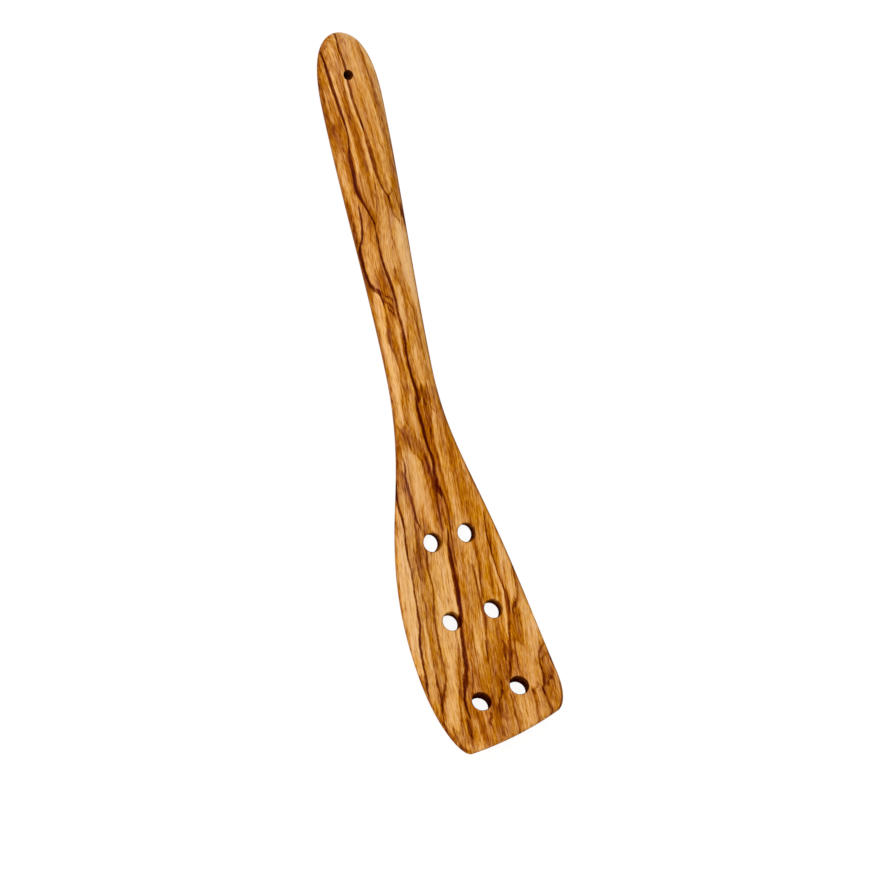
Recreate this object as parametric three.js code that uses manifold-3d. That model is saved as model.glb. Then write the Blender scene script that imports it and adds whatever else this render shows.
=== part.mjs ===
// A pancake spatula carved from one olive-wood board: a straight handle with a hang hole, a slim neck and
// a scooped blade with a slanted front edge and two columns of drain holes.
// Millimetres. The origin is on the flat back, under the narrowest point of the neck. +X runs to the front
// edge, +Z rises out of the food side, and the part lies on the back of its handle at Z = 0.

import * as THREE from 'three';
import { mergeVertices } from 'three/addons/utils/BufferGeometryUtils.js';
import Module from 'manifold-3d';

const { lerp, smoothstep, degToRad } = THREE.MathUtils;
const wasm = await Module();
wasm.setup();

// Plan of the handle
const HANDLE_LENGTH = 142; // from the neck back to the handle's end
const GRIP_WIDTH = 26.8;
const NECK_WIDTH = 20.4;
const END_LENGTH = 29; // stretch over which the handle's end closes
const END_NOSE = 0.29; // share of the half width over which that end stays square
const END_SIDES = 0.9; // share of that stretch over which the sides stay straight
const END_OFFSET = -0.8; // of the end's point from the centre line

// Plan of the blade
const BLADE_LENGTH = 161.5; // from the neck to the front edge, along the back
const BLADE_WIDTH = 58;
const EDGE_SLANT = 12; // degrees by which the front edge leaves the square
const EDGE_BOW = 1.5; // how far the front edge bulges past its chord
// For each side: the share of the half width at which the front edge turns into the corner, the length that
// the corner takes up, and the shares of the flare that keep its direction at the neck and at the corner
const LEFT_SIDE = { sign: -1, edge: 0.69, corner: 36, leave: 0.4, arrive: 0.5 };
const RIGHT_SIDE = { sign: 1, edge: 0.76, corner: 16.5, leave: 0.33, arrive: 0.62 };

// Side view
const SCOOP_START = 51; // from the neck to where the back starts to rise
const SCOOP_RADIUS = 188; // of the back
const HANDLE_FRONT = 5; // rise of the handle's food side above its edge line
const HANDLE_BACK = 5.5; // drop of the handle's back below its edge line
const BLADE_FRONT = 1.8;
const BLADE_BACK = 4.1;
const BACK_FLAT = 0.4; // sanded off the back, which leaves the flat that the part lies on
const THINNING_START = -25; // from the neck, where the handle starts to thin down
const THINNING_END = 68; // from the neck, where the blade is down to its own thickness

// Rounding of the edges, measured in from the outline
const HANDLE_ROUND = 7;
const BLADE_FRONT_ROUND = 2;
const BLADE_BACK_ROUND = 20;

// Holes
const DRAIN_DIAMETER = 7.8;
const HANG_DIAMETER = 3.6;
const HANG_SETBACK = 18.6; // from the handle's end
const HANG_OFFSET = -1.2; // from the centre line
const RIM_EASE = 0.25; // rounding of every hole's rim
// For each row: its distance back from the front edge, its holes' distances from the centre line, and the
// degrees by which it leaves the square
const DRAIN_ROWS = [
  { back: 89.1, left: 6.2, right: 9.6, slant: 3 },
  { back: 54.5, left: 7.8, right: 11.5, slant: 3 },
  { back: 18, left: 7.9, right: 10.3, slant: 8.5 },
];

// Fineness of the facets
const RAIL_STEPS = [10, 14, 22, 12]; // along the end, the handle, the flare and the corner
const ACROSS_STEPS = 18;
const HOLE_STEPS = 28;
const CUT_MARGIN = 2; // how far a cutter stands out of the wood

const ELLIPSE_PULL = 0.5523; // a cubic curve with this pull follows a quarter ellipse

// One edge of the plan, from the handle's end round to the front edge, as points a row apart
function edgeRail({ sign, edge, corner, leave, arrive }) {
  const slant = degToRad(EDGE_SLANT);
  const reach = BLADE_WIDTH / 2;
  const run = edge * reach;
  const end = new THREE.Vector2(-HANDLE_LENGTH, END_OFFSET);
  const grip = new THREE.Vector2(END_LENGTH - HANDLE_LENGTH, (sign * GRIP_WIDTH) / 2);
  const neck = new THREE.Vector2(0, (sign * NECK_WIDTH) / 2);
  const tip = new THREE.Vector2(BLADE_LENGTH - sign * run * Math.tan(slant), sign * run);
  const swell = new THREE.Vector2(tip.x - corner, sign * reach);
  const outward = new THREE.Vector2(-sign * Math.sin(slant), sign * Math.cos(slant));
  const along = (point, distance) => new THREE.Vector2(point.x + distance, point.y);
  const third = (neck.x - grip.x) / 3;
  const flare = swell.x - neck.x;
  const endSide = new THREE.Vector2(end.x, end.y + grip.y * END_NOSE);
  const tipSide = outward.multiplyScalar(ELLIPSE_PULL * (reach - run)).add(tip);
  const curves = [
    new THREE.CubicBezierCurve(end, endSide, along(grip, -END_LENGTH * END_SIDES), grip),
    new THREE.CubicBezierCurve(grip, along(grip, third), along(neck, -third), neck),
    new THREE.CubicBezierCurve(neck, along(neck, leave * flare), along(swell, -arrive * flare), swell),
    new THREE.CubicBezierCurve(swell, along(swell, ELLIPSE_PULL * corner), tipSide, tip),
  ];
  return [end, ...curves.flatMap((curve, i) => curve.getPoints(RAIL_STEPS[i]).slice(1))];
}

// Share of the full height that a rounded edge has reached at a distance in from it
function rounded(distance, radius) {
  const short = 1 - Math.min(distance / radius, 1);
  return Math.sqrt(1 - short * short);
}

// Heights of the back and the food side above the back's flat, in the wood before it is scooped:
// station counts from the neck, toSide and toEnd are the distances to the outline
function skin(station, toSide, toEnd) {
  const thinned = smoothstep(station, THINNING_START, THINNING_END);
  const rise = lerp(HANDLE_FRONT, BLADE_FRONT, thinned);
  const drop = lerp(HANDLE_BACK, BLADE_BACK, thinned);
  const frontRound = lerp(HANDLE_ROUND, BLADE_FRONT_ROUND, thinned);
  const backRound = lerp(HANDLE_ROUND, BLADE_BACK_ROUND, thinned);
  const edge = drop - BACK_FLAT;
  const back = edge - drop * rounded(toSide, backRound) * rounded(toEnd, backRound);
  const front = edge + rise * rounded(toSide, frontRound) * rounded(toEnd, frontRound);
  return { back: Math.max(back, 0), front };
}

// Angle by which the scoop has turned the wood at a station
function scoopAngle(station) {
  return Math.max(station - SCOOP_START, 0) / SCOOP_RADIUS;
}

// A point of the straight wood, moved to where the scoop carries it
function scooped(station, across, height) {
  const angle = scoopAngle(station);
  const straight = Math.min(station, SCOOP_START);
  const radius = SCOOP_RADIUS - height;
  return new THREE.Vector3(
    straight + radius * Math.sin(angle),
    across,
    SCOOP_RADIUS - radius * Math.cos(angle),
  );
}

// A closed ring of points round the wood at each row, over the food side and back along the back
function sectionRings() {
  const left = edgeRail(LEFT_SIDE);
  const right = edgeRail(RIGHT_SIDE);
  const front = (left.at(-1).x + right.at(-1).x) / 2;
  return left.map((from, i) => {
    const to = right[i];
    const station = (from.x + to.x) / 2;
    const toEnd = Math.min(station + HANDLE_LENGTH, front - station);
    const bow = EDGE_BOW * smoothstep(station, 0, front);
    const over = [];
    const under = [];
    for (let j = 0; j <= ACROSS_STEPS; j += 1) {
      const u = -Math.cos((Math.PI * j) / ACROSS_STEPS);
      const share = (1 + u) / 2;
      const x = lerp(from.x, to.x, share) + bow * (1 - u * u);
      const y = lerp(from.y, to.y, share);
      const toSide = ((1 - Math.abs(u)) * (to.y - from.y)) / 2;
      const height = skin(station, toSide, toEnd);
      over.push(scooped(x, y, height.front));
      under.unshift(scooped(x, y, height.back));
    }
    return [...over, ...under];
  });
}

// Skin over the rings, whose first and last close on themselves
function loftGeometry(rings) {
  const count = rings[0].length;
  const geometry = new THREE.BufferGeometry().setFromPoints(rings.flat());
  const index = [];
  for (let i = 0; i + 1 < rings.length; i += 1) {
    for (let j = 0; j < count; j += 1) {
      const a = i * count + j;
      const b = i * count + ((j + 1) % count);
      index.push(a, a + count, b, b, a + count, b + count);
    }
  }
  geometry.setIndex(index);
  return geometry;
}

// Solid of a closed geometry, with shared points merged and collapsed triangles left out
function solidOf(geometry) {
  const bare = geometry.clone();
  bare.deleteAttribute('normal');
  bare.deleteAttribute('uv');
  const merged = mergeVertices(bare, 1e-4);
  const triangles = [];
  for (let i = 0; i < merged.index.count; i += 3) {
    const [a, b, c] = [0, 1, 2].map((k) => merged.index.getX(i + k));
    if (a !== b && b !== c && c !== a) {
      triangles.push(a, b, c);
    }
  }
  return new wasm.Manifold(new wasm.Mesh({
    numProp: 3,
    vertProperties: merged.attributes.position.array,
    triVerts: new Uint32Array(triangles),
  }));
}

// Geometry of a finished solid
function geometryOf(solid) {
  const mesh = solid.getMesh();
  const geometry = new THREE.BufferGeometry();
  geometry.setAttribute('position', new THREE.BufferAttribute(new Float32Array(mesh.vertProperties), 3));
  geometry.setIndex(new THREE.BufferAttribute(new Uint32Array(mesh.triVerts), 1));
  geometry.computeVertexNormals();
  return geometry;
}

// Drill square to the back at a point of the plan, flaring at both faces to ease the rims
function holeCutter(station, across, diameter) {
  const thickness = skin(station, Infinity, Infinity).front;
  const radius = diameter / 2;
  const wide = radius + RIM_EASE + CUT_MARGIN;
  const profile = [
    new THREE.Vector2(0, -CUT_MARGIN),
    new THREE.Vector2(wide, -CUT_MARGIN),
    new THREE.Vector2(radius, RIM_EASE),
    new THREE.Vector2(radius, thickness - RIM_EASE),
    new THREE.Vector2(wide, thickness + CUT_MARGIN),
    new THREE.Vector2(0, thickness + CUT_MARGIN),
  ];
  const angle = scoopAngle(station);
  const geometry = new THREE.LatheGeometry(profile, HOLE_STEPS);
  geometry.rotateX(Math.PI / 2);
  geometry.rotateY(-angle);
  geometry.translate(...scooped(station, across, 0).toArray());
  return solidOf(geometry);
}

// Both holes of a drain row
function drainCutters({ back, left, right, slant }) {
  return [-left, right].map((across) => {
    const station = BLADE_LENGTH - back - across * Math.tan(degToRad(slant));
    return holeCutter(station, across, DRAIN_DIAMETER);
  });
}

function spatulaMesh() {
  const hangCutter = holeCutter(HANG_SETBACK - HANDLE_LENGTH, HANG_OFFSET, HANG_DIAMETER);
  const cutters = [...DRAIN_ROWS.flatMap(drainCutters), hangCutter];
  const blank = solidOf(loftGeometry(sectionRings()));
  const solid = cutters.reduce((wood, cutter) => wood.subtract(cutter), blank);
  const oliveWood = new THREE.MeshStandardMaterial({ color: 0xc28a48, roughness: 0.5, metalness: 0 });
  const mesh = new THREE.Mesh(geometryOf(solid), oliveWood);
  mesh.name = 'spatula';
  return mesh;
}

const pancakeSpatula = new THREE.Group();
pancakeSpatula.add(spatulaMesh());

export default pancakeSpatula;
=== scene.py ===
"""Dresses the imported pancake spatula: one length of olive wood, carved, drilled, sanded and oiled."""

import logging
import math
from dataclasses import dataclass
from enum import Enum

import bpy
import numpy as np
from bpy.types import CurveMapping, Material, Mesh, Node, NodeSocket, NodeTree, Object
from mathutils import Matrix, Vector

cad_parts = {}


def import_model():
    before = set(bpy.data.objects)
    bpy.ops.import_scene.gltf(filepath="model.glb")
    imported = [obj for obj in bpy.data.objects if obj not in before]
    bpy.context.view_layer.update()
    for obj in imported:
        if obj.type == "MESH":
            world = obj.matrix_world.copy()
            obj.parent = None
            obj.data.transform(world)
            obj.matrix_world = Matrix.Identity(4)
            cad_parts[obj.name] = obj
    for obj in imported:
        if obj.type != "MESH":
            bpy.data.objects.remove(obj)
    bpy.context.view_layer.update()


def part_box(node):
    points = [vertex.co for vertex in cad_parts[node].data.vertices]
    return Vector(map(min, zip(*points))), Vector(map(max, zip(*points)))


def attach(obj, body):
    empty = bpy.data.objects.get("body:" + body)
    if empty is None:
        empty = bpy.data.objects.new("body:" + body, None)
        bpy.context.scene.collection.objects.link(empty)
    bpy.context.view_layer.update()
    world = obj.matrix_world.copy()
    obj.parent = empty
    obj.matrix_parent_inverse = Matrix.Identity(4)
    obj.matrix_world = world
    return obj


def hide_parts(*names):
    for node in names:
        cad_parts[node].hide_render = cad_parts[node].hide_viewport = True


LOG = logging.getLogger("spatula")
MM = 0.001
# A noise node's middle value.
NOISE_MIDDLE = 0.5
# How far a cubic curve's handles reach towards the corner to follow a quarter round.
QUARTER_PULL = 0.5523
# Two kinds of range: one runs straight on past its ends, the other eases in and out between them.
STRAIGHT = {"clamp": False}
EASED = {"clamp": False, "interpolation_type": "SMOOTHSTEP"}
Feed = Node | NodeSocket | float | tuple[float, ...]
Feeds = dict[int | str, Feed]


def linear(code: str) -> tuple[float, float, float, float]:
    """Turn an sRGB hex colour into linear light.

    Args:
        code: A hash mark and six hex digits.

    Returns:
        The linear colour with full alpha.
    """
    parts = [int(code[i : i + 2], 16) / 255 for i in (1, 3, 5)]
    light = [p / 12.92 if p <= 0.04045 else ((p + 0.055) / 1.055) ** 2.4 for p in parts]
    return (light[0], light[1], light[2], 1.0)


def add(tree: NodeTree, kind: str, feeds: Feeds | None = None, **settings: object) -> Node:
    """Add one shader node, with its settings and what goes into its sockets.

    Args:
        tree: The node tree that takes the node.
        kind: The node's type, without the ShaderNode in front.
        feeds: For each socket's name or place, a value, a socket, or a node whose first output is meant.
        **settings: The node's own properties.

    Returns:
        The new node.
    """
    node = tree.nodes.new(f"ShaderNode{kind}")
    for name, value in settings.items():
        setattr(node, name, value)
    for key, feed in (feeds or {}).items():
        source = feed.outputs[0] if isinstance(feed, Node) else feed
        if isinstance(source, NodeSocket):
            tree.links.new(source, node.inputs[key])
        else:
            node.inputs[key].default_value = source
    return node


def draw(mapping: CurveMapping, points: list[tuple[float, float]], handle: str) -> None:
    """Draw a curve through points that go from left to right.

    Args:
        mapping: The curve's mapping, on a node.
        points: Places on the curve, each from 0 to 1.
        handle: How the curve passes a point: VECTOR is straight, AUTO_CLAMPED is smooth.
    """
    mapping.extend = "HORIZONTAL"
    curve = mapping.curves[0]
    while len(curve.points) < len(points):
        curve.points.new(0.5, 0.5)
    for knot, place in zip(curve.points, points):
        knot.location = place
        knot.handle_type = handle
    mapping.update()


def smoothstep(x: np.ndarray, low: float, high: float) -> np.ndarray:
    """Rise smoothly from 0 at low to 1 at high."""
    t = np.clip((x - low) / (high - low), 0.0, 1.0)
    return t * t * (3.0 - 2.0 * t)


def rounded(distance: np.ndarray, radius: np.ndarray) -> np.ndarray:
    """Follow a quarter round: 0 at the edge, 1 from the radius inwards."""
    return np.sqrt(1.0 - (1.0 - np.minimum(distance / radius, 1.0)) ** 2)


def bezier(knots: list[tuple[float, float]], steps: int) -> np.ndarray:
    """Walk along one cubic curve.

    Args:
        knots: Its four control points.
        steps: How many steps to take.

    Returns:
        The points after the first one.
    """
    t = np.linspace(0.0, 1.0, steps + 1)[1:, None]
    a, b, c, d = (np.array(k, float) for k in knots)
    return (1 - t) ** 3 * a + 3 * (1 - t) ** 2 * t * b + 3 * (1 - t) * t * t * c + t**3 * d


class Growth(Enum):
    """What a streak is: how far it moves the wood from pale towards dark, and how crisp its sides are."""

    HEART = (0.58, 2)
    BROWN = (0.36, 1)
    OCHRE = (0.17, 1)
    AMBER = (0.16, 2)
    TAN = (-0.12, 1)
    PALE = (-0.26, 1)
    SAP = (-0.2, 2)


class Hue(Enum):
    """Which way a broad band leans in hue and how far, and how crisp its sides are."""

    GOLDEN = (1.0, 1)
    ROSY = (-1.0, 1)


class Depth(Enum):
    """Which way a broad band leans in depth of colour and how far, and how crisp its sides are."""

    RICH = (1.0, 1)
    FADED = (-1.0, 1)


@dataclass(frozen=True)
class Streak:
    """One streak: its half width and its path, in millimetres from the middle of the neck, and its strength.

    Each point of the path is (along, across) or (along, across, half width).
    """

    half: float
    path: tuple[tuple[float, ...], ...]
    strength: float = 1.0


Figure = dict[Growth | Hue | Depth, tuple[Streak, ...]]

# The handle's streaks, from its end to the neck.
HANDLE_FIGURE: Figure = {
    Growth.HEART: (
        Streak(0.4, (
            (-134, -9.8, 0.15), (-129, -9.8, 0.4), (-124, -9.4, 0.58), (-120, -9, 0.64), (-116, -8.6, 0.64),
            (-112, -8.3, 0.64), (-109, -7.9, 0.6), (-106, -7.4, 0.5), (-103, -7.1, 0.3), (-99, -7.1, 0.25),
            (-95, -7.4, 0.3), (-91, -7.8, 0.7), (-86, -7.8, 0.75), (-82, -7.8, 0.8), (-78, -7.9, 0.82),
            (-75, -7.7, 0.8), (-73, -7.2, 0.7), (-71, -6.6, 0.55), (-69.4, -6, 0.5), (-67, -5.2, 0.4),
            (-64, -4.2, 0.3), (-61, -3.4, 0.25),
        ), 0.95),
        Streak(0.4, (
            (-141, -2.2), (-139.5, -2.7), (-137, -2.9, 0.3), (-135, -3), (-131, -2.5), (-128, -2.1),
            (-126, -2), (-121, -2, 0.55), (-118, -1.7, 0.6), (-112, -1.5, 0.62), (-110, -1.1, 0.62),
            (-107, -0.6, 0.6), (-104, -0.1, 0.55), (-101.5, 0.3, 0.4),
        ), 0.85),
        Streak(0.9, (
            (-104, 0, 0.3), (-100, 0.6, 0.6), (-95, 1.1), (-90, 1.5), (-86, 1.8), (-82, 2.1, 0.6),
            (-79, 2.4, 0.45), (-77, 2.8, 0.4), (-75, 3.4, 0.4), (-73, 4.3, 0.4), (-72, 4.8, 0.45),
            (-70.5, 5, 0.3),
        ), 0.72),
        Streak(0.6, ((-67, 10.2, 0.3), (-63, 10.4), (-59.5, 10.8, 0.5)), 0.8),
        Streak(0.35, (
            (-69, -8.5, 0.25), (-63, -8.7), (-60, -9), (-57, -9.5), (-54, -10.4, 0.35), (-51, -11.1, 0.35),
            (-47, -11, 0.3), (-43, -10.8, 0.3), (-40, -10.4, 0.4), (-37, -9.9, 0.5), (-35.6, -9.2, 0.7),
            (-34.5, -8.4, 1.1), (-33.4, -7.6, 0.7), (-32, -7.2, 0.4), (-29, -6.8, 0.35),
        ), 0.95),
        Streak(0.45, (
            (-61, -3.3, 0.2), (-57, -3.6, 0.25), (-53, -3.4, 0.3), (-50, -3.7, 0.35), (-47, -3.5, 0.4),
            (-44, -3.2, 0.5), (-40, -2.6, 0.6), (-37, -2.1, 0.6), (-34, -1.7, 0.65), (-31, -1.5, 0.6),
            (-28, -1.3, 0.55), (-24, -1.4, 0.55), (-20, -1.1, 0.55), (-14, -0.8, 0.45), (-12, -0.8, 0.35),
            (-8, -1.4, 0.35), (-4, -1.4, 0.35), (0, -1.2, 0.45), (3, -1, 0.5), (6, -0.6, 0.5), (9, -0.2),
            (13, 0.1),
        ), 0.9),
    ),
    Growth.BROWN: (
        Streak(0.35, ((-92.5, -9.2), (-88, -9.6), (-84, -9.3), (-80, -9.2), (-75, -9)), 0.5),
        Streak(0.35, ((-105, -12), (-101, -11.6), (-96, -11.3)), 0.25),
        Streak(0.5, (
            (-136.5, 6.9), (-133, 6.5), (-130, 6.8), (-127, 7.1), (-124, 7.5), (-120, 8), (-117, 8.3),
        ), 0.8),
        Streak(0.25, ((-84, 0.9), (-80, 0.7), (-76, 0.3), (-72, 0), (-68, -1), (-64, -2), (-61, -3)), 0.6),
        Streak(0.5, ((-73.4, 7.8, 0.4), (-71.8, 4.6, 0.4))),
        Streak(0.45, ((-71, 5), (-67, 5.2), (-64, 5.8), (-62, 6.8), (-60.8, 8.2)), 0.9),
        Streak(0.4, ((-77, 8.4), (-72, 8.6), (-68, 9), (-63, 9.6)), 0.7),
        # This streak along the handle's left edge is painted shade.
        Streak(0.5, ((-73, -12), (-62, -11.6), (-55, -11.5)), 0.8),
        Streak(0.8, ((-12, -1.4), (-7, -1.8), (-2, -2, 0.5)), 0.6),
        Streak(0.45, (
            (-37, 2.6), (-32, 2.7), (-28, 2.5), (-24, 2.3), (-20, 1.9), (-16, 1.2), (-13, 0.7),
        ), 0.6),
        Streak(0.5, ((-32.4, -6.6, 0.3), (-31, -4.5, 0.7), (-29.6, -2.4, 0.4)), 0.8),
        Streak(0.5, ((-29.8, -6.7, 0.4), (-28.6, -5, 0.7), (-26.8, -3.8, 0.5), (-25, -3, 0.4))),
        Streak(0.35, ((-26.5, -5.6), (-24.6, -3.9), (-22.6, -2.9)), 0.9),
    ),
    Growth.OCHRE: (
        Streak(3, ((-136, -10, 1.5), (-120, -11.5), (-104, -11), (-96, -10.2, 1.8)), 0.7),
        Streak(1.3, (
            (-118, -4.2, 0.4), (-112, -4.7, 0.9), (-105, -4.1), (-97, -3.1), (-90, -2.5, 1.1),
            (-82, -2.1, 0.6), (-70, -2, 0.6),
        ), 0.95),
        Streak(0.7, (
            (-114, 8.8), (-108, 9.4), (-98, 9.9), (-92, 9.8), (-88, 9.6), (-84, 9.2), (-80, 9), (-76, 9.2),
        )),
        Streak(0.5, ((-83, -5.6), (-77, -5.4), (-72, -4.9), (-66, -4, 1.2), (-62, -3.2, 1))),
        Streak(0.4, (
            (-72, 3.8), (-66, 3.6), (-60, 3), (-55, 2.8), (-52, 3.4), (-44, 4), (-36, 4), (-30, 4),
            (-26, 5), (-24, 5.7), (-15, 5.9), (-8, 6.2),
        ), 1.2),
        Streak(1.4, ((-42, -6.6, 0.8), (-38, -6), (-35.5, -5.2))),
        Streak(1, ((-40.5, 1.2), (-36.2, 1.2)), 1.2),
        Streak(1.2, ((-22, 6.4, 0.6), (-15, 6.6), (-5, 6.8), (5, 6.6), (12, 6.8), (17, 7.2)), 0.3),
    ),
    Growth.TAN: (
        Streak(4, ((-140, 3, 2.5), (-128, 3.2), (-110, 4.2), (-94, 5.4), (-78, 6.4, 2.5)), 0.5),
        Streak(2, ((-136, -6.5, 1.2), (-127, -7), (-116, -7.2, 1.2)), 0.8),
        Streak(2.2, ((-66, 1, 1.2), (-58, 0.6), (-46, 1.2), (-41, 1.4, 1.2)), 0.4),
        Streak(2, ((-59, 6.4, 2), (-48, 6.8, 3), (-38, 7.2, 2.6), (-28, 7.6, 1.6)), 1.5),
        Streak(2.2, ((-52, -7, 1.2), (-47, -7.2), (-42, -7.6, 1.4)), 0.7),
    ),
    Growth.PALE: (
        Streak(0.5, ((-119, -10), (-114, -9.4), (-109, -9.1)), 0.8),
        Streak(0.6, (
            (-125, -8.2), (-116, -7.5), (-110, -7.2), (-105, -6.5), (-95, -5.8), (-84, -5.6),
        ), 0.9),
        Streak(0.3, ((-118, -12.1), (-112, -12), (-106, -11.5)), 0.8),
        Streak(0.6, (
            (-121, -2.9), (-115, -2.6), (-110, -2.2), (-105, -1.3), (-100, -0.6), (-95, -0.4), (-88, 0),
            (-80, 0.3),
        ), 1.2),
        Streak(0.4, ((-140, -3.3), (-136, -3.9)), 0.7),
        Streak(0.7, ((-67, -7.4), (-62, -7.2), (-56, -8.4)), 0.1),
        Streak(1, ((-35.6, 0.9), (-30, 0.9), (-22, 0.6, 0.8), (-15, 0.1, 0.5)), 0.55),
    ),
}

# The neck's streaks, up to the first holes.
NECK_FIGURE: Figure = {
    Growth.HEART: (
        Streak(0.9, (
            (13.4, -1, 0.3), (16, -1, 0.5), (20, -0.6, 0.55), (24, -0.3, 0.65), (27, -0.1, 0.6),
            (30, 0.2, 0.5), (34, 0.5, 0.5), (37, 1.5, 0.6), (40, 1.6, 0.6), (42, 1.3, 0.65),
            (45, 1.1, 0.75), (48, 1.1, 0.8), (50, 1.2, 0.95), (52, 1.6, 0.8), (53.4, 2.2, 0.5),
        )),
        Streak(0.35, (
            (45, -15.8, 0.3), (50, -16.7), (54, -17.1), (57, -17.2, 0.45), (60, -17, 0.5), (63, -17, 0.45),
            (66, -17.3), (70, -17.8), (74, -18.2), (78, -18.5), (82, -18.5), (86, -18.8), (90, -19.4),
            (93, -20), (96, -20.5), (102, -21.3, 0.5), (105, -21.9, 0.5), (108, -22.7, 0.45),
            (111, -23.7, 0.5), (114, -24.6, 0.55), (117, -25.1, 0.5), (122, -25.9, 0.45),
            (125, -26.3, 0.45), (128, -26.8, 0.45), (130.4, -27.4, 0.5), (133, -27.9, 0.5),
            (135, -28.4, 0.3),
        ), 0.95),
        Streak(0.4, (
            (37, -11.3, 0.2), (40, -11.4, 0.3), (43, -11.9, 0.5), (45, -11.9, 0.6), (48, -11.6, 0.6),
            (52, -11.4, 0.55), (58, -11, 0.5), (61, -11, 0.55), (63, -10.7, 0.45), (65, -10, 0.3),
        ), 0.8),
    ),
    Growth.BROWN: (
        Streak(0.35, (
            (-28, -6.7), (-26, -6.6), (-22, -7), (-18, -7.5), (-15, -7.7), (-12, -7.4), (-9, -7),
            (-7, -6.3), (-4, -5.9), (0, -5.6), (3, -5.7), (6, -6.2), (10, -6.8), (14, -7.4), (18, -7.7),
            (25, -8), (29, -7.5), (32, -7.1), (34, -6.5), (35.4, -5.2), (36.6, -4.3), (38, -3.6),
            (43, -3.1), (47, -2.9), (50, -2.5), (54, -2.1), (58, -2), (64, -1.6),
        ), 0.7),
        Streak(1, ((23, -8.8, 0.6), (25, -9.2), (27, -8.7), (31.5, -8.8, 0.4)), 0.8),
        Streak(0.4, ((27, -10.9), (31, -11.4), (34, -11.7), (37, -11.3), (40, -11.2)), 0.5),
        Streak(0.4, ((8, 4.6), (10, 5), (13, 5), (16, 5), (18, 5.6), (19.2, 6.4), (19.4, 8.4)), 0.7),
        Streak(0.35, ((13.8, 2.4), (15, 3.2)), 0.9),
        Streak(1, ((16, 2.4, 0.6), (20, 2.5), (24, 2.8), (26.5, 2.8, 0.5)), 0.7),
    ),
    Growth.OCHRE: (
        Streak(0.5, ((1, 1.6), (6, 2), (9, 2.3))),
        Streak(1.6, ((9.5, 2.6), (13, 2.8)), 1.2),
        Streak(0.6, ((27, 3.3), (34, 3.6), (40, 3.8), (50, 4.6, 0.4), (58, 5.1, 0.4), (66, 5.2, 0.4)), 1.4),
        Streak(2.4, ((26, 9.5, 1.2), (34, 10.4), (44, 11.5), (54, 12.2), (63, 12.6, 1.4)), 0.45),
        Streak(0.8, ((42, -13), (47, -12.9), (54, -12.3)), 0.8),
        Streak(1, ((58, -6.7, 0.4), (62, -7.2, 0.8), (66, -8, 1.3), (68.5, -9, 1.2)), 1.2),
    ),
    Growth.AMBER: (
        Streak(1.4, (
            (-24, -5.2, 1.1), (-15, -6.1), (-8, -5.2), (0, -4.4), (5, -4.8), (10, -5.4), (14, -5.8),
            (21, -6.2, 1.1),
        ), 1.2),
        Streak(2.4, (
            (27, -5.6, 1.8), (31, -4.7, 2.6), (35, -3.2, 1.7), (40, -1.8, 1.2), (50, -1, 1),
            (58, -0.6, 0.7),
        ), 1.2),
    ),
    Growth.TAN: (
        Streak(1.6, ((13, -3.4, 1), (18, -3.8), (24, -3.4), (27, -3, 0.8)), 1.2),
        Streak(2.6, (
            (33, -9.2, 1.2), (38, -7.8, 2.8), (48, -7.5, 3.4), (57, -6.6, 2.8), (65, -4.4, 1.4),
        ), 2),
        Streak(1.2, ((-7, 2.8), (0, 3.1), (7, 3.7)), 1.2),
        Streak(1.6, ((38, 6.8, 1), (48, 7), (58, 7.4), (66, 7.6), (76, 8), (84, 8.4, 1)), 1.1),
    ),
    Growth.PALE: (
        Streak(0.6, ((-18, -3.2), (-8, -3.1), (0, -2.7), (5, -2), (10, -1.1), (12.5, -0.8)), 0.7),
        Streak(1, ((13.6, 1.8), (15, 3.8, 0.5)), 0.8),
        Streak(0.5, ((20, 5.5), (24, 4.8), (28, 4.5), (34, 4.5), (40, 4.9)), 0.9),
        Streak(0.6, (
            (56, -18.1), (62, -18), (68, -18.6), (74, -19.2), (80, -19.5), (90, -20.6), (100, -21.9),
            (110, -24.3), (118, -26.2), (126, -27.4),
        ), 0.9),
    ),
    Growth.SAP: (
        Streak(1.8, (
            (-33, -8.6, 0.8), (-28, -8.7, 1.5), (-20, -8.8, 1.4), (-14, -9, 1.1), (-7, -8.3, 1.6),
            (0, -7.9, 1.9), (6, -8.2, 1.9), (14, -8.8, 1.8), (21, -9.3, 1.5),
        ), 1.2),
    ),
}

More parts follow.
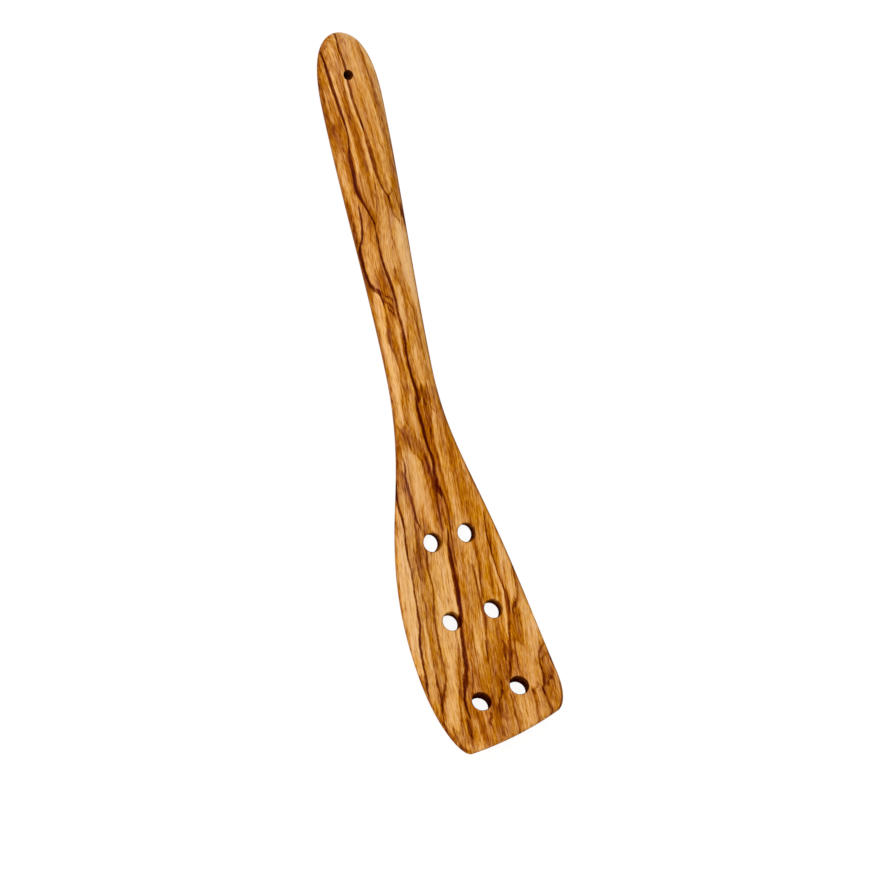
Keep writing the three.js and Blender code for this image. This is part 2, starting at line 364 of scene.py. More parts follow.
# The blade's streaks on its long-cornered side.
LEFT_BLADE_FIGURE: Figure = {
    Growth.HEART: (
        Streak(0.45, (
            (69, 1.5, 0.25), (73, 0.8, 0.4), (76, 0.3, 0.55), (79, 0.1, 0.8), (82, -0.3, 0.85),
            (86, -0.7, 0.85), (90, -1.1, 0.85), (94, -1.5, 0.85), (98, -2, 0.85), (102, -2.7, 0.8),
            (106, -3.6, 0.6), (110, -4.6, 0.65), (114, -5.5, 0.7), (118, -6.3, 0.75), (122, -7, 0.85),
            (126, -7.9, 0.9), (129, -8.8, 0.9), (131, -9.8, 0.9), (134, -11.1, 0.95), (137, -12.4, 0.9),
            (140, -13.7, 0.7), (143, -14.8, 0.45), (146, -15.2, 0.35), (151, -15.2, 0.25),
        )),
    ),
    Growth.BROWN: (
        Streak(0.4, ((63, -11.6), (70, -12.6), (75, -14.2), (80, -15.3), (85, -15.7)), 0.6),
        Streak(0.4, (
            (82, -15.7), (86, -15.7), (89, -16.2), (92, -16.8), (95, -17), (98, -16.9), (101, -17.3),
            (104, -18), (108, -19), (112, -19.8), (116, -20.4), (120, -21.2), (124, -21.8), (128, -22.3),
            (133, -23.3),
        ), 0.65),
        Streak(0.35, (
            (75, -9.6), (79, -10.4), (82, -11), (86, -11.2), (90, -11.3), (93, -11.8), (96, -12.6),
            (99, -13.3), (102, -14.1), (105, -14.7), (108, -15.2), (111, -15.6), (114, -16), (118, -16.6),
            (122, -17.3), (126, -17.9), (130, -18.6, 0.45), (133, -19.7, 0.6), (135, -20.7, 0.7),
            (137, -21.9, 0.75), (139, -23, 0.7), (141, -23.9, 0.6), (143, -25, 0.45), (145, -25.7),
            (150, -26.7),
        ), 1.15),
        Streak(0.3, ((85, -5.8), (90, -6.6), (94, -7), (98, -6.8)), 0.5),
        Streak(0.45, (
            (118, -8.4, 0.35), (122, -9.6), (126, -11), (130, -12.3), (134, -13.5), (138, -15.1),
            (141, -16.3), (144, -17.3, 0.35), (147, -18.3, 0.3), (150, -19.3, 0.3), (153, -20.3, 0.3),
        ), 0.8),
        Streak(0.3, ((126, -5.6), (130, -6.8), (135, -8.2), (138, -9.3), (140.5, -10.6)), 0.8),
        Streak(0.6, ((152, -16.8, 0.3), (156, -17.6, 0.7), (158.4, -18.2, 0.5))),
        # This streak along the edge of the front left corner is painted shade, where the edge turns away from
        # the light.
        Streak(0.7, (
            (145, -27.6, 0.4), (149, -27.1), (155, -26), (160, -24.7), (163.4, -22.8), (165.6, -20.4, 0.5),
        ), 0.5),
        Streak(0.5, ((152, -23.4, 0.3), (155, -24.2), (161, -23.8, 0.3)), 0.7),
        Streak(0.5, ((152.2, -6.2), (153.6, -7.4, 0.7), (155.2, -8.2)), 1.1),
        Streak(0.5, ((142.6, 2.6), (144.6, 0.8), (147, -1), (150, -2.6)), 0.8),
        Streak(0.4, ((138.6, 3.6), (140.4, 2.8), (142, 2)), 0.9),
    ),
    Growth.OCHRE: (
        Streak(1.8, ((70, -11.6, 0.6), (75, -13, 1.2), (80, -13.8), (85, -14, 1.2), (88, -14.2, 0.6)), 1.1),
        Streak(0.9, ((94, -16.4), (101, -16.8), (108, -18.3), (116, -19.6), (124, -20.8)), 0.3),
        Streak(0.7, (
            (76, 1.4), (82, 0.7), (90, -0.2), (97, -1.2), (104, -2.2), (112, -3.4), (120, -5),
        ), 0.9),
        Streak(2, ((140, -14.8, 0.6), (147, -14.4, 1.4), (153, -17.6), (160, -19.4, 1.6)), 0.9),
        Streak(1, ((150, -11.2), (157, -11.8), (163, -12.4))),
        Streak(1.6, ((132, -6, 0.8), (140, -4.4), (150, -3.6), (160, -4.4)), 0.8),
    ),
    Growth.TAN: (
        Streak(2.5, ((52, -15, 1), (60, -14.6, 1.5), (68, -15.4, 1.2)), 0.9),
        Streak(3, (
            (70, -21, 1), (82, -22.4, 2.4), (96, -24.4), (104, -25.8, 2.2), (112, -27.4, 1.6),
            (122, -28.6, 1.2),
        ), 1.8),
        Streak(2.4, ((76, -5, 1.4), (82, -6, 2.6), (90, -6.6, 3), (98, -7.4, 3.2), (104, -8.8, 1.8)), 2.2),
        Streak(1, ((155, -13.8), (160, -14.8, 1.3), (165, -16, 1.3)), 1.6),
    ),
    Growth.PALE: (
        Streak(0.5, ((106, -20), (112, -21), (118, -22.1), (124, -23)), 0.9),
        Streak(0.7, (
            (76, -1.4), (82, -2.2), (90, -2.8), (100, -4.1), (106, -5.1), (112, -6.4), (118, -7.8),
        )),
        Streak(0.4, ((152, -18), (158, -19.3)), 0.8),
        Streak(0.7, ((148, -25.4), (155, -25.6), (160, -24.6)), 0.6),
    ),
    Growth.SAP: (
        Streak(2, (
            (98, -10.6, 0.8), (106, -11.2, 2.2), (112, -11.2, 3.4), (118, -12.8, 3.2), (124, -14, 1.8),
            (130, -15.6, 1.8), (135, -17, 1.8), (140, -18.9, 2.2), (145, -20.6, 2.4), (149, -21.8, 2.2),
            (151.4, -22.4, 1.8),
        ), 1.15),
    ),
}

# The blade's streaks on its tight-cornered side.
RIGHT_BLADE_FIGURE: Figure = {
    Growth.HEART: (
        Streak(0.45, (
            (66, 19, 0.2), (70, 18.6, 0.25), (76, 18.1, 0.25), (82, 18.1, 0.25), (90, 18, 0.25),
            (94, 18.3, 0.3), (98, 18.8, 0.4), (101, 18.9, 0.5), (104, 18.7, 0.75), (106, 18.4, 0.95),
            (108, 17.9, 0.8), (111, 16.8, 0.6), (114, 15.9, 0.55), (117, 15.1, 0.55), (120, 14.3, 0.55),
            (123, 13.1, 0.8), (126, 12.3, 0.8), (129, 11.4, 0.8), (131, 10.7, 0.8), (133, 9.9, 0.75),
            (135, 9, 0.7), (137, 7.9, 0.6), (139, 7, 0.3),
        ), 0.74),
        Streak(0.5, (
            (135, 22.8, 0.2), (138.6, 22.4, 0.35), (141, 21.9, 0.55), (143, 21.2, 0.65), (145, 20.3, 0.6),
            (146.6, 19.6, 0.4), (148, 19.4, 0.25),
        ), 0.85),
    ),
    Growth.BROWN: (
        Streak(0.45, (
            (51, 2.4), (54, 3.1), (57, 3.4), (60, 3.6), (63, 3.4), (66, 3, 0.35), (70, 2.7, 0.3),
            (75, 2.4, 0.3), (84, 1.4, 0.3),
        )),
        Streak(0.5, ((52, 0.5), (55, 0.1), (58, -0.3), (62, -0.5), (68, -0.6))),
        Streak(0.4, ((56, 1.3), (57.5, 1.6), (59.5, 1.5)), 0.8),
        Streak(0.4, ((61, 1.3), (63, 1.5), (65, 1.2)), 0.8),
        Streak(0.55, (
            (75, 12.5), (80, 12), (83, 11.4), (86, 11), (90, 10.3), (94, 9.6), (98, 9.1), (101, 8.8, 0.3),
        ), 0.95),
        Streak(0.35, ((82, 17), (86, 16.2), (92, 14.9), (100, 13.4)), 0.4),
        Streak(0.35, ((56, 17.6), (61, 17), (67, 15.8)), 0.4),
        Streak(0.4, (
            (87, 8.3), (92, 8), (96, 7.6), (100, 7.2), (104, 6.9, 0.6), (108, 6.5, 0.8), (112, 6, 0.7),
            (115, 5.2, 0.6), (118, 4.3, 0.55), (121, 3.4, 0.5), (124, 2.4), (128, 1.2),
        ), 1.05),
        Streak(0.7, ((65, 19.8), (70, 19.1), (76, 18.7), (82, 18.5), (90, 18.6), (98, 19)), 0.4),
        Streak(0.8, ((105.4, 22.2, 0.6), (107.4, 20.9), (109.4, 19.3, 0.5))),
        Streak(0.5, ((91, 25.6), (97, 25), (101, 24.3), (104, 23.4), (106.4, 22.4)), 0.9),
        Streak(0.8, ((122.5, 11, 0.5), (125, 10.3, 0.9), (128, 9.5, 0.6)), 0.9),
        Streak(0.5, ((132, 8.4), (135, 7.4), (138, 6.2)), 0.7),
        Streak(0.35, ((121, 16.2), (126, 14.8), (130, 14), (135, 13)), 0.7),
        Streak(0.4, ((145, 5.2), (150, 4.4), (154, 3.8), (158, 3.3), (163, 2.2)), 0.8),
        Streak(0.5, ((147, 19.4), (151, 19.3), (155, 19.3), (159, 18.2)), 0.9),
        Streak(0.55, ((145.8, 15), (148, 14.7), (151, 14.2), (154, 13.4), (157, 12.9), (160, 12.5)), 0.85),
        Streak(0.8, ((144, 18.9), (146, 15.1)), 0.9),
        Streak(0.8, ((142.4, 25.4), (143.8, 21.8)), 0.9),
        Streak(0.4, ((138, 26.6), (140.4, 26), (142.6, 25.2)), 0.8),
        Streak(0.45, (
            (126.6, 27.8), (127.8, 26), (129.2, 24.7), (131.2, 23.7), (134, 23), (137, 22.7),
        ), 0.9),
        Streak(0.8, ((131.4, 27), (132.8, 23.6)), 0.6),
        Streak(0.5, ((146, 27.2), (151, 26.2), (154.4, 24.6), (157, 22.2)), 0.7),
        Streak(0.5, ((126, 28.3), (131, 28.1), (136, 28)), 0.6),
    ),
    Growth.OCHRE: (
        Streak(1.2, ((66, 2), (76, 3.4), (84, 3.2), (92, 1.6)), 0.7),
        Streak(0.9, ((75, 13.6), (80, 13.2), (86, 12.2), (92, 11.4)), 0.2),
        Streak(1.2, ((80, 14.6), (88, 14.8), (96, 14.6)), 0.5),
        Streak(1.2, ((64, 20.4), (69, 20.3), (75, 20.2)), 0.3),
        Streak(2, ((112, 11, 0.8), (120, 9.6), (128, 7.6), (136, 4.8), (144, 2.2, 1)), 0.9),
        Streak(1.4, ((146, 17), (151, 16.4), (158, 15.4)), 0.5),
    ),
    Growth.AMBER: (
        Streak(2.1, ((108, 21, 1.3), (112, 20.3), (117, 19.2), (121.6, 18.2, 1.8)), 1.4),
        Streak(2, (
            (128.6, 26.2, 1.2), (131, 25.4, 1.8), (135, 25), (140, 24.6), (146, 23.8, 1.8),
            (151, 22.6, 1.4),
        ), 0.45),
    ),
    Growth.TAN: (
        Streak(2.4, ((97, 3, 1), (106, 2.8), (116, 1.4), (124, -0.4, 1.2)), 0.4),
        Streak(2, ((84, 7, 1.4), (92, 5.4), (100, 4.2, 1.2)), 0.3),
        Streak(1.6, ((92, 12, 0.8), (99, 11.8), (103, 14.2, 1)), 0.5),
        Streak(1.6, ((80, 22.2, 0.8), (90, 22.4), (99, 21.8), (104, 21, 0.8)), 1.3),
        Streak(2.2, (
            (108, 25.6, 0.8), (114, 24.6), (121, 23.6), (127, 22), (136, 18.4), (144, 16.6, 1.2),
        ), 0.9),
        Streak(2.4, ((147, 9, 1.4), (153, 9.2), (161, 8)), 1.3),
    ),
    Growth.PALE: (
        Streak(0.5, ((82, 10.6), (90, 9.4), (97, 8.5)), 0.8),
        Streak(0.45, ((107, 5.6), (112, 4.6), (116, 3.8), (120, 2.7), (125, 1.4))),
        Streak(0.55, (
            (85, 17.2), (94, 17.3), (100, 17.6), (104, 17.1), (108, 15.9), (112, 15.1), (118, 13.8),
        )),
    ),
}

# Broad bands of growth, under the streaks.
BROAD_FIGURE: Figure = {
    Growth.BROWN: (
        Streak(1.4, ((-14, -1.4, 0.8), (-8, -1.6), (0, -1.1), (6, -0.4), (12, 0.4)), 0.5),
        Streak(1.9, ((9, 2.2, 1.4), (13, 2.4), (22, 2.6), (28, 2.6, 1.2)), 0.4),
        Streak(1.2, ((13, -0.8, 0.8), (20, -0.5), (28, 0.2), (36, 1, 0.8)), 0.6),
        Streak(1.4, ((30, 2.4, 1), (40, 2.8), (50, 3), (58, 3.2), (67, 3.6, 1)), 0.35),
        Streak(0.9, ((72, 1.8, 0.5), (80, 0.9), (90, 0), (100, -1.4), (108, -3, 0.6)), 0.3),
        Streak(1.1, ((-92, -8.6, 0.6), (-84, -8.7), (-76, -8.3, 0.8)), 0.5),
        Streak(0.9, ((36, -1.6, 0.5), (43, -0.8), (50, -0.2, 0.6)), 0.8),
        Streak(0.9, ((131, -22.6, 0.4), (136, -23.4), (142, -24.8), (148, -25.6, 0.5)), 0.7),
        Streak(0.9, ((-62, -3.6, 0.6), (-54, -3.8), (-46, -3.4, 0.6)), 0.4),
    ),
    Growth.OCHRE: (
        Streak(2.6, ((-114, 9, 1.2), (-100, 9.6), (-88, 10.2), (-74, 10.6), (-60, 10.6, 2)), 0.4),
        Streak(2.6, ((-118, 2, 1.4), (-108, 3.4), (-98, 5, 1.6)), 0.5),
        Streak(2.2, ((-120, -12.4, 1), (-108, -11.4), (-96, -9.6, 1.6)), 0.45),
        Streak(2.4, ((-74, -6.6, 1), (-67, -6.4), (-60, -5.8, 1.2)), 0.7),
        Streak(2.4, ((-41, -4.6, 1.2), (-34, -4.2), (-26, -3.6, 1.4)), 1.1),
        Streak(1.8, ((6, 7.6, 0.8), (14, 7.8), (24, 8.6), (30, 9.4, 1)), 0.25),
        Streak(4, ((22, 9.8, 1.4), (34, 11, 2.4), (48, 13), (62, 15.5), (78, 18.5), (88, 20, 2)), 0.1),
        Streak(2, ((90, 0.8, 1), (100, 1), (108, 0.4), (118, -1.2, 1)), 0.3),
        Streak(3.6, (
            (114, -2.4, 1.4), (124, -4.4, 2.6), (134, -6), (144, -6), (152, -5), (162, -5.6, 3),
        ), 0.7),
        Streak(2.4, ((122, 3, 1), (132, 1.2), (142, -0.4), (152, -1.4)), 0.9),
        Streak(2.4, ((148, -15, 1.4), (156, -16.4), (162, -17.6, 1.4)), 0.35),
        Streak(1.8, ((150, -25.2, 0.8), (156, -24.6), (161, -22.4)), 0.3),
        Streak(1.5, ((-73, 7.4, 0.8), (-67, 7.6), (-61, 8.4)), 0.7),
        Streak(1.3, ((-121, 8.8, 0.8), (-115, 8.2), (-108, 8.6, 0.8)), 0.6),
        Streak(1.5, ((128, 20.6, 0.8), (134, 20.4), (140, 19.8, 0.8)), 0.55),
        Streak(1.4, ((1, 4.4, 0.8), (10, 4), (21, 4.2, 0.8)), 0.45),
        Streak(1.5, ((-92, 7.8, 0.8), (-84, 8.4), (-74, 9.4)), 0.6),
        Streak(3, ((150, -20, 1.6), (156, -14, 4), (162, -11, 4)), 0.55),
        Streak(1.8, ((139, -11.2, 0.8), (144, -11.8), (150, -12, 1)), 0.8),
        Streak(2, ((128, 13.4, 1), (134, 13), (142, 11.8, 1)), 0.7),
        Streak(1.8, ((134, 24.6, 1), (144, 24), (151, 23.2)), 0.2),
    ),
    Growth.TAN: (
        Streak(1.6, ((-128, 11.6, 1.2), (-112, 12.4), (-96, 12.6)), 1.3),
        Streak(1.5, ((-56, 10.2, 1), (-40, 9.6), (-26, 8.6), (-12, 8.4, 1.8), (0, 9), (8, 9.6, 1)), 1.5),
        Streak(1.5, ((26, 11.6, 1), (34, 12.8), (42, 14.4)), 0.9),
        Streak(1.8, ((56, 17.2), (68, 20.6), (80, 23.4), (88, 24.8)), 0.7),
        Streak(1.5, ((-86, -12.4, 1), (-78, -12), (-66, -11.4, 1)), 0.9),
        Streak(1.3, ((97, 12.3, 0.8), (100, 12.2), (103, 12, 0.8)), 0.8),
        Streak(1.8, ((98, -3.6, 0.8), (101, -4.2), (106, -5.6, 1)), 1.2),
        Streak(1.6, ((118, -24, 1), (125, -24.9), (132, -25.6), (137, -26.4, 0.8))),
        Streak(2, ((108, 9.4, 1), (114, 9), (119, 8.2, 1))),
        Streak(1.5, ((113, 1.2, 0.8), (118, 0.2), (122, -0.8, 0.8))),
        Streak(1.6, ((77, 13, 0.8), (81, 13.8), (85, 14.2, 0.8)), 0.8),
    ),
    Growth.PALE: (
        # This first pale band, round the rim of the handle's end, is a painted highlight.
        Streak(1.8, ((-141.6, 1.4), (-139.4, 4.6), (-136, 7.4), (-132, 9.2), (-126, 10.8, 1.2)), 0.9),
        Streak(1.2, ((113, 27.6, 0.8), (119, 28), (125, 28.2), (129, 28.4, 0.6)), 0.9),
    ),
}

# Broad bands that lean to gold or to red.
HUE_FIGURE: Figure = {
    Hue.GOLDEN: (
        Streak(4, ((-124, 10, 2.5), (-110, 10.5), (-80, 9.5), (-64, 6), (-56, 4.5, 2)), 1.1),
        Streak(2.5, ((-20, 8.5), (-8, 8.5), (4, 8))),
        Streak(7, ((70, -14, 4), (90, -15), (108, -16), (130, -20, 4)), 1.3),
        Streak(2.5, ((76, 24), (92, 25.5), (116, 26))),
    ),
    Hue.ROSY: (
        Streak(6, ((-124, -4, 3), (-112, -4), (-98, -3), (-86, -5), (-70, -8, 3), (-50, -7, 2)), 1.2),
        Streak(4, ((-36, -6, 2), (-28, -6), (-20, -4), (-14, -1, 2)), 1.7),
        Streak(5.5, ((18, 6, 2), (32, 9, 4), (44, 10), (56, 11), (72, 14), (92, 15.5), (100, 16, 4)), 0.75),
        Streak(2.5, ((12, 0.5, 1.5), (24, 1.5), (44, 2), (62, 2, 2)), 1.4),
        Streak(4, ((98, 17.5, 2.5), (106, 17.5), (118, 14), (132, 9, 3)), 1.6),
        Streak(5, ((40, -2, 2), (48, -3, 3.5), (56, -6, 8), (62, -5, 5), (68, 0, 2)), 1.4),
        Streak(2.5, ((86, 0.5, 1.5), (94, -0.5), (106, -2), (118, -4.5, 2)), 1.6),
        Streak(4.5, ((130, -7, 2.5), (142, -8), (152, -8, 6), (162, -14, 5)), 1.9),
        Streak(5.5, ((134, 15, 2.5), (141, 17.5), (148, 15, 3), (154, 10, 2.5)), 1.5),
    ),
}

# Broad bands of fuller or thinner colour.
DEPTH_FIGURE: Figure = {
    Depth.RICH: (
        Streak(3, (
            (-12, -2.5, 2), (-4, -2), (10, 0), (22, 0.5, 4), (34, 1.5, 3.5), (46, 4.5), (60, 5, 2.5),
        ), 0.4),
        Streak(5, ((36, 10, 2.5), (46, 12), (58, 14.5), (70, 17), (80, 20, 3)), 0.5),
        Streak(6, ((86, 14, 4), (98, 16), (116, 14), (130, 9), (138, 2, 4)), 0.45),
        Streak(4, ((144, -17, 2), (152, -17), (160, -16, 2.5)), 0.4),
    ),
    Depth.FADED: (
        Streak(5, ((-142, 1, 3.5), (-130, 0), (-118, -2, 3.5)), 0.6),
        Streak(3, ((-118, 12), (-96, 12)), 0.8),
        Streak(5, ((-60, 5, 3), (-48, 6), (-34, 8, 3.5)), 0.7),
        Streak(4, ((36, -10, 2.5), (48, -12), (58, -14), (74, -19), (95, -23), (115, -26, 3)), 0.7),
        Streak(6, ((82, -8, 4), (94, -10), (106, -13), (116, -12, 3.5)), 0.2),
    ),
}


@dataclass(frozen=True)
class Fibre:
    """Fibres of one size: length and width in millimetres, fineness, shift of tone and sparseness."""

    length: float
    width: float
    detail: float
    gain: float
    sparse: float = 1.0


@dataclass(frozen=True)
class Stray:
    """One size of bend in the streaks: its length, its width, and its reach across and along, in mm."""

    length: float
    width: float
    sideways: float
    lengthwise: float


@dataclass(frozen=True)
class EdgeShade:
    """Painted shade on one edge, by how far the wood turns to its side, from 0 to 1.

    It starts at one turn on the handle and at another on the blade, and its shift of tone is whole at full.
    """

    side: float
    handle: float
    blade: float
    full: float
    shift: float


@dataclass(frozen=True)
class Working:
    """What working gives the wood: shift of tone, further shift by the back that paints shade deep in a hole,
    brightness, roughness, gloss.
    """

    shift: float
    back_shade: float
    bright: float
    rough: float
    gloss: float


class Surface(Enum):
    """How a part of the wood was worked, and how much shade is painted on a hole's wall."""

    # Sanded fine and oiled: a satin surface with soft highlights.
    SANDED = Working(0.0, 0.0, 1.0, 0.48, 0.02)
    # Drilled and left so: matt torn fibres, a little darker, with painted shade that deepens towards the
    # back.
    DRILLED = Working(0.10, 0.65, 0.80, 0.80, 0.0)
    # Drilled and left so, its wall painted nearly black as deep shade, and matt.
    PAINTED_DEEP_SHADE = Working(0.40, 0.45, 0.45, 0.80, 0.0)


@dataclass(frozen=True)
class Blank:
    """What the form and the figure share, in millimetres: the scoop, where the wood thins, and its back."""

    scoop_start: float = 51.0
    scoop_radius: float = 188.0
    thinning: tuple[float, float] = (-25.0, 68.0)
    handle_back: float = 5.5
    blade_back: float = 4.1
    back_flat: float = 0.4


@dataclass(frozen=True)
class Spot:
    """Where a point lies along, across and above the back of the wood: nodes that give millimetres."""

    along: Node
    across: Node
    above: Node


@dataclass(frozen=True)
class OliveWood:
    """Olive wood, carved, sanded fine and oiled: a satin honey to amber ground with near-black heart lines.

    Its figure is solid, so that the lines on the food side come out again on the edges and the back.
    """

    blank: Blank = Blank()
    # The layers lean, so a line comes out on the back this much further across per millimetre of depth.
    lean: float = 0.8
    # The tone between the streaks, and the colours from the palest tone to the darkest.
    ground: float = 0.31
    tones: tuple[tuple[float, str], ...] = (
        (0.00, "#F4BE78"), (0.14, "#E9AD62"), (0.27, "#D99745"), (0.39, "#C57D2A"), (0.51, "#AE6314"),
        (0.62, "#964C07"), (0.74, "#7E3902"), (0.87, "#672501"), (1.00, "#4C1000"),
    )
    # Painted shade on the edges, where the wood turns away from the light, and the right edges, away from the
    # key lamp, get the most.
    # The blade's edges are rounded tighter than the handle's, so the same width of edge takes in flatter wood
    # there.
    rims: tuple[EdgeShade, ...] = (EdgeShade(-1.0, 0.66, 0.30, 0.92, 0.17), EdgeShade(1.0, 0.55, 0.10, 0.78, 0.26))
    # Growth layers, coarse and fine bundles of fibres, pores, and single fibres, which are drawn about twenty
    # times as wide as their real 0.02 mm, so that they show.
    fibres: tuple[Fibre, ...] = (
        Fibre(90.0, 5.0, 2.0, 0.46), Fibre(60.0, 1.5, 2.0, 0.40), Fibre(16.0, 0.7, 1.0, 0.44),
        Fibre(5.0, 0.6, 1.0, 1.4, 6.0), Fibre(3.0, 0.42, 1.0, 0.62),
    )
    fibre_roughness: float = 0.55
    strays: tuple[Stray, ...] = (
        Stray(9.0, 4.0, 0.8, 1.5), Stray(2.4, 1.0, 0.32, 1.5), Stray(1.0, 0.5, 0.16, 0.8),
    )
    # How fast a pattern changes through the thickness, as a share of how fast it does across the wood.
    fibre_through: float = 0.5
    stray_through: float = 0.3
    # How far the grain runs off across the wood, from the end of the handle to the front edge.
    drift: tuple[tuple[float, float], ...] = (
        (-142, 0), (-100, 4), (-80, 5.5), (-72, 5.5), (-45, 2.5), (-25, 4), (0, 4), (30, 4.3), (50, 4),
        (70, 2), (100, -3), (130, -9), (165, -16),
    )
    # Where the curves' 0 to 1 lies, in millimetres.
    along: tuple[float, float] = (-150.0, 175.0)
    across: tuple[float, float] = (-34.0, 34.0)
    # A streak is drawn this much wider than its half width says, and there this share of it is left.
    widening: float = 1.15
    left_over: float = 0.37
    # It runs out past its ends by so many half widths and so many millimetres more, and then the curve of its
    # width is held next to nothing for a while.
    run_out: tuple[float, float] = (1.2, 1.3)
    clear: float = 3.9
    no_width: float = 1e-5
    # Patches where the colour leans, along, across and through the wood in millimetres, and how strongly.
    patch: tuple[float, float, float] = (8.0, 2.0, 4.0)
    patch_gain: float = 3.6
    # The hue, where 0.5 is as it was, and the depth of colour, at a lean of one either way.
    hue_turn: tuple[float, float] = (0.4971, 0.5013)
    colour_depth: tuple[float, float] = (0.925, 1.075)
    # How far up a hole's wall the painted shade by the back reaches, in millimetres.
    wall_shade_reach: float = 6.0
    # How deep the finest fibres stand, in millimetres, and how strongly that shows.
    pore_depth: float = 0.04
    pore_strength: float = 0.35
    ior: float = 1.5

    def place(self, along: float, across: float) -> tuple[float, float]:
        """Give a point of the figure as a place on a 0 to 1 curve."""
        (start, end), (left, right) = self.along, self.across
        return (along - start) / (end - start), (across - left) / (right - left)

    def unbend(self, tree: NodeTree) -> Spot:
        """Find where a point lies in the wood before it was scooped.

        Args:
            tree: The material's node tree.

        Returns:
            The lengths along, across and above the back.
        """
        start, radius, (low, high) = self.blank.scoop_start, self.blank.scoop_radius, self.blank.thinning
        metres = add(tree, "TexCoord").outputs["Object"]
        millimetres = add(tree, "VectorMath", {0: metres, "Scale": 1 / MM}, operation="SCALE")
        axes = add(tree, "SeparateXYZ", {0: millimetres})
        beyond = add(tree, "Math", {0: axes.outputs[0], 1: start}, operation="SUBTRACT")
        past = add(tree, "Math", {0: beyond, 1: 0.0}, operation="MAXIMUM")
        below = add(tree, "Math", {0: radius, 1: axes.outputs[2]}, operation="SUBTRACT")
        turn = add(tree, "Math", {0: past, 1: below}, operation="ARCTAN2")
        straight = add(tree, "Math", {0: axes.outputs[0], 1: start}, operation="MINIMUM")
        along = add(tree, "Math", {0: turn, 1: radius, 2: straight}, operation="MULTIPLY_ADD")
        reach = add(tree, "VectorMath", {0: add(tree, "CombineXYZ", {0: past, 1: below})}, operation="LENGTH")
        above = add(tree, "Math", {0: radius, 1: reach.outputs["Value"]}, operation="SUBTRACT")
        flat = self.blank.back_flat
        thick, thin = self.blank.handle_back - flat, self.blank.blade_back - flat
        edge = add(tree, "MapRange", {0: along, 1: low, 2: high, 3: thick, 4: thin}, **EASED)
        depth = add(tree, "Math", {0: edge, 1: above}, operation="SUBTRACT")
        sunk = add(tree, "Math", {0: depth, 1: 0.0}, operation="MAXIMUM")
        across = add(tree, "Math", {0: sunk, 1: -self.lean, 2: axes.outputs[1]}, operation="MULTIPLY_ADD")
        return Spot(along, across, above)

    def grow(self, tree: NodeTree, spot: Spot) -> tuple[Node, Node, Node]:
        """Lay the fibres along the grain.

        Args:
            tree: The material's node tree.
            spot: Where a point lies in the wood.

        Returns:
            The tone of the ground, the finest fibres, and which way the colour leans.
        """
        share = add(tree, "MapRange", {0: spot.along, 1: self.along[0], 2: self.along[1]}, **STRAIGHT)
        drift = add(tree, "FloatCurve", {"Value": share})
        draw(drift.mapping, [self.place(*point) for point in self.drift], "AUTO_CLAMPED")
        run_off = add(tree, "MapRange", {0: drift, 3: self.across[0], 4: self.across[1]}, **STRAIGHT)
        level = add(tree, "Math", {0: spot.across, 1: run_off}, operation="SUBTRACT")
        grain = add(tree, "CombineXYZ", {0: spot.along, 1: level, 2: spot.above})
        size = tuple(1 / length for length in self.patch)
        cell = add(tree, "VectorMath", {0: grain, 1: size}, operation="MULTIPLY")
        patches = add(tree, "TexNoise", {"Vector": cell, "Scale": 1.0, "Detail": 3.0, "Roughness": 0.6})
        centre = -self.patch_gain * NOISE_MIDDLE
        mottle = add(tree, "Math", {0: patches, 1: self.patch_gain, 2: centre}, operation="MULTIPLY_ADD")
        tone: Feed = self.ground
        fine = grain
        for fibre in self.fibres:
            size = (1 / fibre.length, 1 / fibre.width, self.fibre_through / fibre.width)
            cell = add(tree, "VectorMath", {0: grain, 1: size}, operation="MULTIPLY")
            settings = {"Scale": 1.0, "Detail": fibre.detail, "Roughness": self.fibre_roughness}
            fine = spread = add(tree, "TexNoise", {"Vector": cell, **settings})
            if fibre.sparse != 1.0:
                spread = add(tree, "Math", {0: fine, 1: fibre.sparse}, operation="POWER")
            even = add(tree, "Math", {0: spread, 1: NOISE_MIDDLE**fibre.sparse}, operation="SUBTRACT")
            tone = add(tree, "Math", {0: even, 1: fibre.gain, 2: tone}, operation="MULTIPLY_ADD")
        return tone, fine, mottle

    def stray(self, tree: NodeTree, spot: Spot) -> tuple[Node, Node]:
        """Let the streaks' sides and ends stray by a fraction of a millimetre, as fibres do.

        Args:
            tree: The material's node tree.
            spot: Where a point lies in the wood.

        Returns:
            The places along and across, from 0 to 1, with the straying in them.
        """
        along, across = spot.along, spot.across
        whole = add(tree, "CombineXYZ", {0: along, 1: across, 2: spot.above})
        for bend in self.strays:
            size = (1 / bend.length, 1 / bend.width, self.stray_through / bend.width)
            cell = add(tree, "VectorMath", {0: whole, 1: size}, operation="MULTIPLY")
            noise = add(tree, "TexNoise", {"Vector": cell, "Scale": 1.0, "Detail": 1.0})
            even = add(tree, "Math", {0: noise, 1: NOISE_MIDDLE}, operation="SUBTRACT")
            across = add(tree, "Math", {0: even, 1: bend.sideways, 2: across}, operation="MULTIPLY_ADD")
            along = add(tree, "Math", {0: even, 1: bend.lengthwise, 2: along}, operation="MULTIPLY_ADD")
        share = add(tree, "MapRange", {0: along, 1: self.along[0], 2: self.along[1]}, **STRAIGHT)
        side = add(tree, "MapRange", {0: across, 1: self.across[0], 2: self.across[1]}, **STRAIGHT)
        return share, side

